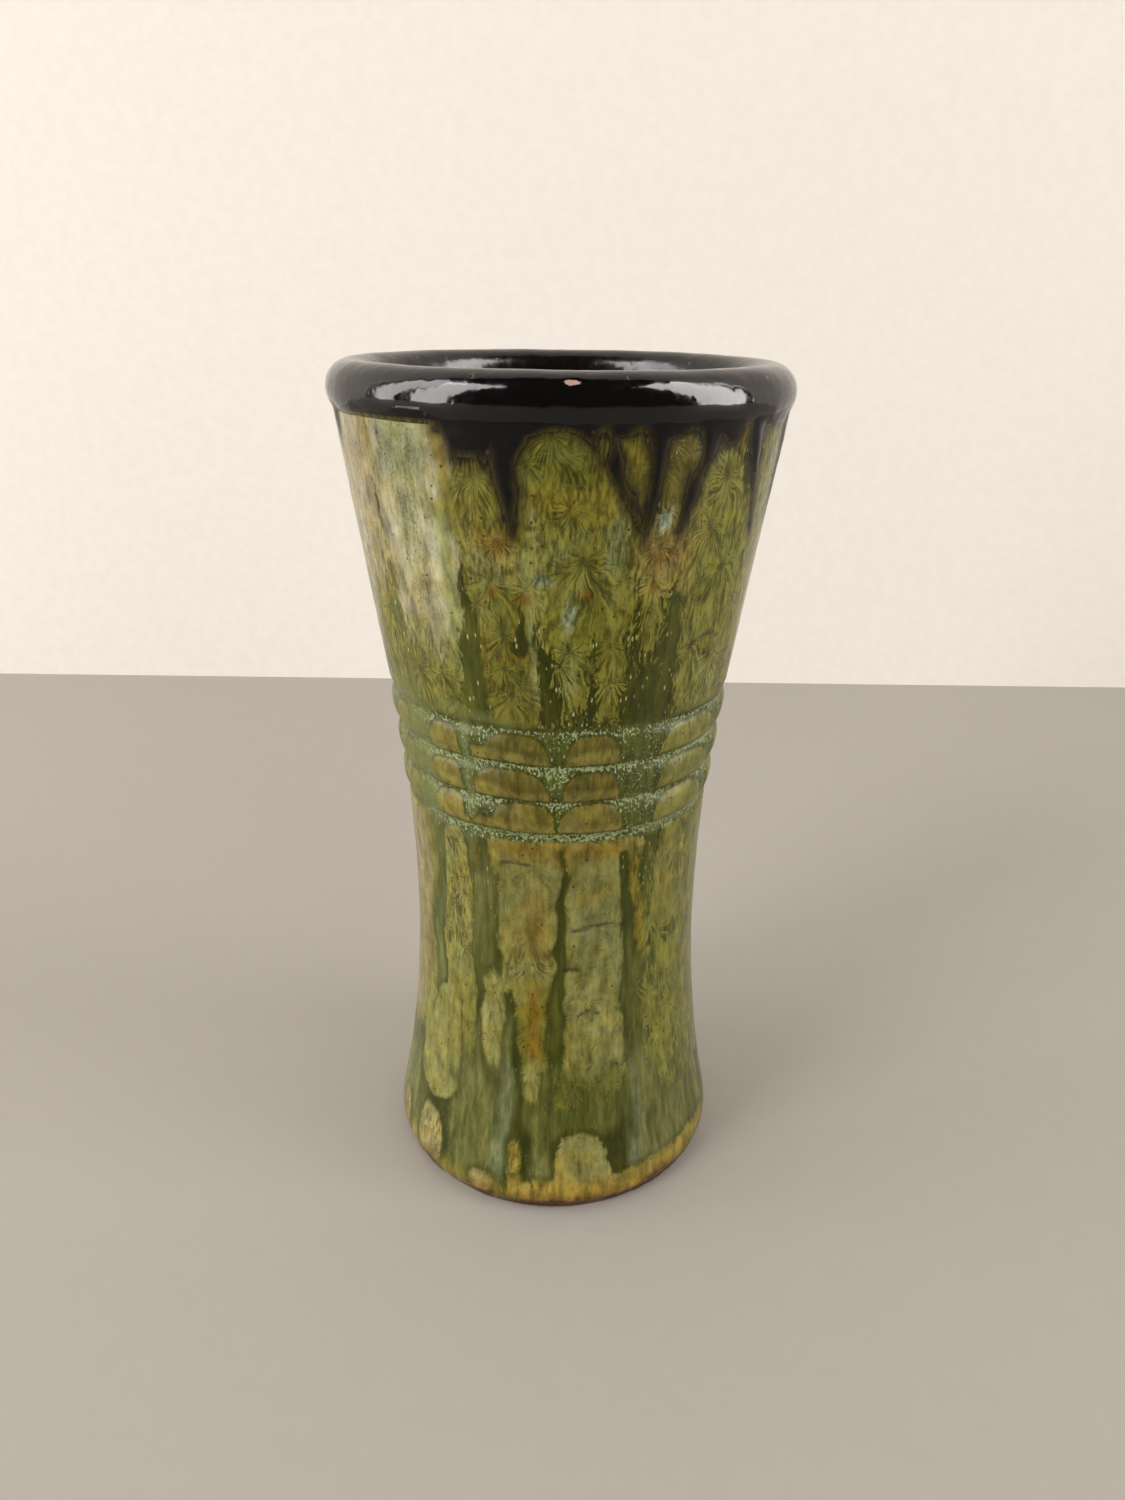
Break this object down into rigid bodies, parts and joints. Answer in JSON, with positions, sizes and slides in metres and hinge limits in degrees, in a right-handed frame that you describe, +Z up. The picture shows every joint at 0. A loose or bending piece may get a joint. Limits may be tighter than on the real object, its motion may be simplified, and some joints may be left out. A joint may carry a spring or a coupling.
{
  "type": "stoneware vase",
  "caption": "Waisted stoneware vase: flared foot, ribbed waist, conical upper body, thick rolled rim, green run glaze with a black rim, runs and lining.",
  "frame": {"origin": "centre of the foot on the surface the vase stands on", "axes": "+Z up along the axis of revolution; -Y is the side the picture shows; +X is to its right"},
  "size_m": [0.1124, 0.1124, 0.224],
  "materials": {
    "fired_clay": "matte",
    "green_run_glaze": "gloss",
    "black_rim_glaze": "gloss",
    "black_run_glaze": "gloss",
    "black_liner_glaze": "gloss"
  },
  "bodies": {
    "root": {"clay_body": "fired_clay", "outer_glaze": "green_run_glaze", "rim_glaze": "black_rim_glaze", "rim_runs": "black_run_glaze", "liner_glaze": "black_liner_glaze"}
  },
  "joints": []
}
